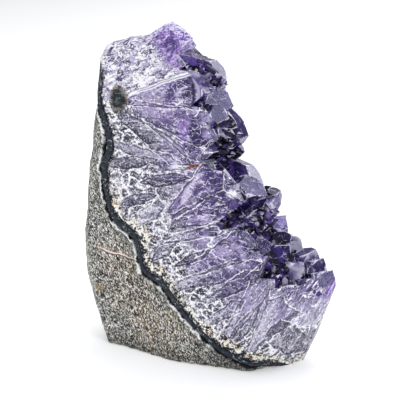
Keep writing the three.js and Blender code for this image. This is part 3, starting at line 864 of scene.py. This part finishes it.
def add_seam_gap(piece):
    """Gives each vertex its distance in mm from the seam."""
    tree = BVHTree.FromObject(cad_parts["celadonite_seam"], bpy.context.evaluated_depsgraph_get())
    gap = piece.data.attributes.new("seam_gap", "FLOAT", "POINT")
    gap.data.foreach_set("value", [tree.find_nearest(Vector(v))[3] / MM for v in vertex_places(piece)])


def add_growth(piece, skin):
    """Gives each vertex its place in the growth, with its distance in mm from the crystal faces."""
    along, share, _ = growth_at(corner_millimetres(vertex_places(piece)))
    growth = piece.data.attributes.new("growth", "FLOAT_VECTOR", "POINT")
    growth.data.foreach_set("vector", np.stack([along, share, skin], 1).ravel())


def sharp_edges(piece, faces):
    """The ends in mm of the sharp edges between some faces, and each face's neighbours on its facet."""
    mesh = piece.data
    normals = face_values(mesh, "normal")
    beside = {}
    for i in faces:
        for key in mesh.polygons[i].edge_keys:
            beside.setdefault(key, []).append(i)
    sharp = []
    flat = {i: [] for i in faces}
    for key, pair in beside.items():
        if len(pair) == 2:
            cosine = normals[pair[0]] @ normals[pair[1]]
            if cosine < SHARP_COSINE:
                sharp.append(key)
            if cosine > SAME_FACET_COSINE:
                flat[pair[0]].append(pair[1])
                flat[pair[1]].append(pair[0])
    places = vertex_places(piece) / MM
    return places[[a for a, _ in sharp]], places[[b for _, b in sharp]], flat


def edge_distances(places, starts, ends):
    """Millimetres from each place to the nearest of the edges."""
    runs = ends - starts
    squares = (runs ** 2).sum(1)
    distances = np.empty(len(places))
    for first in range(0, len(places), 500):
        offset = places[first:first + 500, None] - starts[None]
        share = np.clip((offset * runs[None]).sum(2) / squares, 0, 1)
        distances[first:first + 500] = np.linalg.norm(offset - share[..., None] * runs[None], axis=2).min(1)
    return distances


def facet_clouding(centres, flat):
    """How cloudy each crystal face is, the same over a whole facet: as listed, or else by chance."""
    clouding = np.full(len(centres), -1.0)
    faces = np.array(sorted(flat))
    chance = random.Random(CLOUDING_SEED)
    starts = []
    for at, how in FACET_CLOUDING:
        starts.append((faces[np.linalg.norm(centres[faces] - np.array(at), axis=1).argmin()], how))
    for first, how in starts + [(i, None) for i in faces]:
        if clouding[first] >= 0:
            continue
        how = chance.choice(USUAL_CLOUDING) if how is None else how
        clouding[first] = how
        waiting = [first]
        while waiting:
            for i in flat[waiting.pop()]:
                if clouding[i] < 0:
                    clouding[i] = how
                    waiting.append(i)
    return clouding


def hollows(places, normals, way, tree):
    """How closed in each place is by other crystals, from 0 to 1."""
    closed = np.zeros(len(places))
    chance = random.Random(HOLLOW_SEED)
    leans = [Vector([chance.gauss(0, 0.55) for _ in range(3)]) for _ in range(HOLLOW_RAYS)]
    for i, place in enumerate(places):
        start = Vector(place) + Vector(normals[i]) * 0.1 * MM
        out = Vector((way[i][0], 0, way[i][1])) * 0.6 + Vector(normals[i]) * 0.6
        ways = [(out + lean).normalized() for lean in leans]
        hits = sum(tree.ray_cast(start, way_out, HOLLOW_REACH * MM)[0] is not None for way_out in ways)
        closed[i] = hits / HOLLOW_RAYS
    return closed


def make_crust():
    """The quartz: the CAD solid with its sawn faces told apart from its crystal faces."""
    crust = copy_of_node("amethyst_crust", "quartz_crust")
    cut_into_cells(crust, CELL * MM)
    mesh = crust.data
    centres = corner_millimetres(face_values(mesh, "center"))
    normals = face_values(mesh, "normal")
    _, share, _ = growth_at(centres)
    crystal_face = np.array([
        share[i] > CRYSTALS_FROM and not lies_on_flat(Vector(centres[i]), Vector(normals[i]))
        for i in range(len(centres))
    ])
    mesh.materials.append(quartz_finish())
    mesh.materials.append(points_finish())
    mesh.polygons.foreach_set("material_index", crystal_face.astype(np.int32))

    places = vertex_places(crust)
    crystal_faces = np.nonzero(crystal_face)[0].tolist()
    skin_faces = [tuple(mesh.polygons[i].vertices) for i in crystal_faces]
    tree = BVHTree.FromPolygons([tuple(v) for v in places], skin_faces)
    add_seam_gap(crust)
    add_growth(crust, np.array([tree.find_nearest(Vector(v))[3] for v in places]) / MM)

    starts, ends, flat = sharp_edges(crust, crystal_faces)
    on_crystals = np.unique([v for face in skin_faces for v in face])
    edge_values = np.full(len(places), EDGE_FAR)
    edge_values[on_crystals] = edge_distances(places[on_crystals] / MM, starts, ends)
    vertex_normals = np.empty(len(places) * 3)
    mesh.vertices.foreach_get("normal", vertex_normals)
    vertex_normals = vertex_normals.reshape(-1, 3)[on_crystals]
    _, _, way = growth_at(corner_millimetres(places[on_crystals]))
    hollow_values = np.zeros(len(places))
    hollow_values[on_crystals] = hollows(places[on_crystals], vertex_normals, way, tree)
    for name, domain, values in (
        ("edge", "POINT", edge_values), ("hollow", "POINT", hollow_values),
        ("clouding", "FACE", facet_clouding(centres, flat)),
    ):
        mesh.attributes.new(name, "FLOAT", domain).data.foreach_set("value", values)
    select_only(crust)
    bpy.ops.object.shade_smooth_by_angle(angle=math.radians(27))
    mesh.polygons.foreach_set("use_smooth", ~crystal_face)
    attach(crust, "root")
    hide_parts("amethyst_crust")
    return crust, crystal_faces, hollow_values


def model_small_point():
    """One small crystal, 1 across and 2.4 long: a six-sided prism drawn out to a point."""
    bpy.ops.object.select_all(action="DESELECT")
    bpy.ops.mesh.primitive_cylinder_add(vertices=6, radius=0.5, depth=1.7, location=(0, 0, 0.85))
    point = bpy.context.object
    bpy.ops.object.transform_apply(location=True, rotation=True, scale=True)
    bpy.ops.object.mode_set(mode="EDIT")
    bpy.ops.mesh.select_all(action="DESELECT")
    bpy.ops.object.mode_set(mode="OBJECT")
    for face in point.data.polygons:
        face.select = face.normal.z > 0.9
    bpy.ops.object.mode_set(mode="EDIT")
    bpy.ops.mesh.extrude_region_move(TRANSFORM_OT_translate={"value": (0.06, 0.02, 0.7)})
    bpy.ops.transform.resize(value=(0.04, 0.04, 0.04))
    bpy.ops.mesh.merge(type="CENTER")
    bpy.ops.object.mode_set(mode="OBJECT")
    return point


def make_small_points(crust, crystal_faces, hollow):
    """The small crystals that crowd the hollows between the big ones."""
    mesh = crust.data
    centres = face_values(mesh, "center")
    normals = face_values(mesh, "normal")
    areas = np.empty(len(mesh.polygons))
    mesh.polygons.foreach_get("area", areas)
    at = corner_millimetres(centres)
    _, _, way = growth_at(at)
    low, high = np.array(cad_box[0]) + SMALL_POINT_INSET_M, np.array(cad_box[1]) - SMALL_POINT_INSET_M
    usable = [
        i for i in crystal_faces
        if at[i][2] < SMALL_POINTS_BELOW and (centres[i] > low).all() and (centres[i] < high).all()
    ]
    patches = [
        ([i for i in usable if math.dist(at[i], centre) < radius], count, lightness)
        for centre, radius, count, lightness in SMALL_POINT_PATCHES
    ]
    closed = {i: min(hollow[v] for v in mesh.polygons[i].vertices) for i in usable}
    usable = [i for i in usable if closed[i] > LEAST_HOLLOW]
    chance = random.Random(SMALL_POINT_SEED)
    weights = [areas[i] * closed[i] for i in usable]
    model = model_small_point()
    made = []
    chosen = [(i, LIGHTNESS_ELSEWHERE) for i in chance.choices(usable, weights, k=SMALL_POINTS)]
    for near, count, lightness in patches:
        chosen += [(i, lightness) for i in chance.choices(near, [areas[i] for i in near], k=count)]
    for i, lightness in chosen:
        out = Vector((way[i][0], 0, way[i][1]))
        lean = Vector([chance.uniform(-1, 1) for _ in range(3)])
        direction = (out * 0.8 + Vector(normals[i]) * 0.7 + lean * 0.55).normalized()
        width = chance.uniform(*SMALL_POINT_WIDTHS) * chance.uniform(0.7, 1.3) * MM
        turn = direction.to_track_quat("Z", "Y") @ Quaternion((0, 0, 1), chance.uniform(0, math.pi))
        start = Vector(centres[i]) - direction * width * chance.uniform(0.9, 1.5)
        tip_y = at[i][1] + direction.y * width * 1.5 / MM
        margin = 0.5 + width * 0.6 / MM
        far_side = THICKNESS_BASE - FAR_SLOPE * at[i][2]
        if not (margin < min(tip_y, at[i][1]) and max(tip_y, at[i][1]) < far_side - margin):
            continue
        one = model.copy()
        one.data = model.data.copy()
        one.matrix_world = Matrix.LocRotScale(start, turn, (width, width * chance.uniform(0.7, 1), width))
        kind = chance.random() * lightness
        faces = len(one.data.polygons)
        # flash picks, at random, the faces that are painted as glints.
        for name, values in (("kind", [kind] * faces), ("flash", [chance.random() for _ in range(faces)])):
            one.data.attributes.new(name, "FLOAT", "FACE").data.foreach_set("value", values)
        bpy.context.collection.objects.link(one)
        made.append(one)
    select_only(model)
    bpy.ops.object.delete()
    select_only(made[0])
    for one in made:
        one.select_set(True)
    bpy.ops.object.join()
    points = bpy.context.object
    points.name = "small_points"
    points.data.name = "small_points"
    bpy.ops.object.transform_apply(location=True, rotation=True, scale=True)
    points.data.materials.clear()
    points.data.materials.append(small_points_finish())
    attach(points, "root")


def make_seam():
    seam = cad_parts["celadonite_seam"]
    seam.data.materials.clear()
    seam.data.materials.append(seam_finish())


def make_rind():
    """The rock: the CAD solid remeshed, its edges rounded off and its faces pitted inwards."""
    rind = copy_of_node("basalt_rind", "basalt_rock")
    apply_modifier(rind, "REMESH", mode="VOXEL", voxel_size=ROCK_VOXEL * MM)
    for name, size, depth in (("rock_lumps", 5.0, 0.5), ("rock_pits", 1.6, 0.3)):
        relief = bpy.data.textures.new(name, "CLOUDS")
        relief.noise_scale = size * MM
        relief.noise_depth = 2
        settings = {"texture": relief, "texture_coords": "LOCAL", "strength": -depth * MM, "mid_level": 0.0}
        apply_modifier(rind, "DISPLACE", **settings)
    saw_flat(rind, (0, 0, 0), (0, 0, -1))
    add_seam_gap(rind)
    rind.data.materials.append(basalt_finish())
    select_only(rind)
    bpy.ops.object.shade_smooth()
    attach(rind, "root")
    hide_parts("basalt_rind")


# Studio

def make_studio():
    bpy.ops.object.select_all(action="DESELECT")
    bpy.ops.mesh.primitive_plane_add(size=FLOOR_SIZE_M, location=(0, 0, 0))
    floor = bpy.context.object
    floor.name = "studio_floor"
    paper = Finish("studio_paper")
    floor.data.materials.append(paper.surface({
        "Base Color": (FLOOR_WHITE,) * 3, "Roughness": 1.0, "Specular IOR Level": 0.0,
        "Emission Color": (1, 1, 1), "Emission Strength": FLOOR_GLOW,
    }))
    room = Finish("studio_room", bpy.data.worlds)
    seen = room.number("ShaderNodeLightPath")  # its first output: 1 where the camera looks at it
    light = {"Color": (1, 1, 1), "Strength": seen * (1 - ROOM_LIGHT) + ROOM_LIGHT}
    room.node("ShaderNodeOutputWorld", None, {0: room.node("ShaderNodeBackground", None, light).outputs[0]})
    bpy.context.scene.world = room.material
    for name, azimuth, elevation, distance, size, radiance in LIGHTS:
        add_light(name, azimuth, elevation, distance, size, radiance)
    scene = bpy.context.scene
    scene.view_settings.view_transform = "Standard"
    scene.view_settings.look = "None"


def add_light(name, azimuth, elevation, distance, size, radiance):
    """A square soft light; its azimuth counts from in front of the near sawn side towards the points."""
    around, above = math.radians(azimuth), math.radians(elevation)
    target = from_corner(*LIT_PLACE)
    level = math.cos(above)
    towards = Vector((math.sin(around) * level, -math.cos(around) * level, math.sin(above)))
    bpy.ops.object.light_add(type="AREA", location=target + towards * distance * MM)
    light = bpy.context.object
    light.name = name
    light.rotation_euler = (-towards).to_track_quat("-Z", "Y").to_euler()
    light.data.size = size * MM
    light.data.color = LIGHT_COLOUR
    light.data.energy = radiance * math.pi * (size * MM) ** 2
    light.visible_camera = False


add_camera()
quartz_crust, crystal_faces, hollow_values = make_crust()
make_small_points(quartz_crust, crystal_faces, hollow_values)
make_seam()
make_rind()
make_studio()
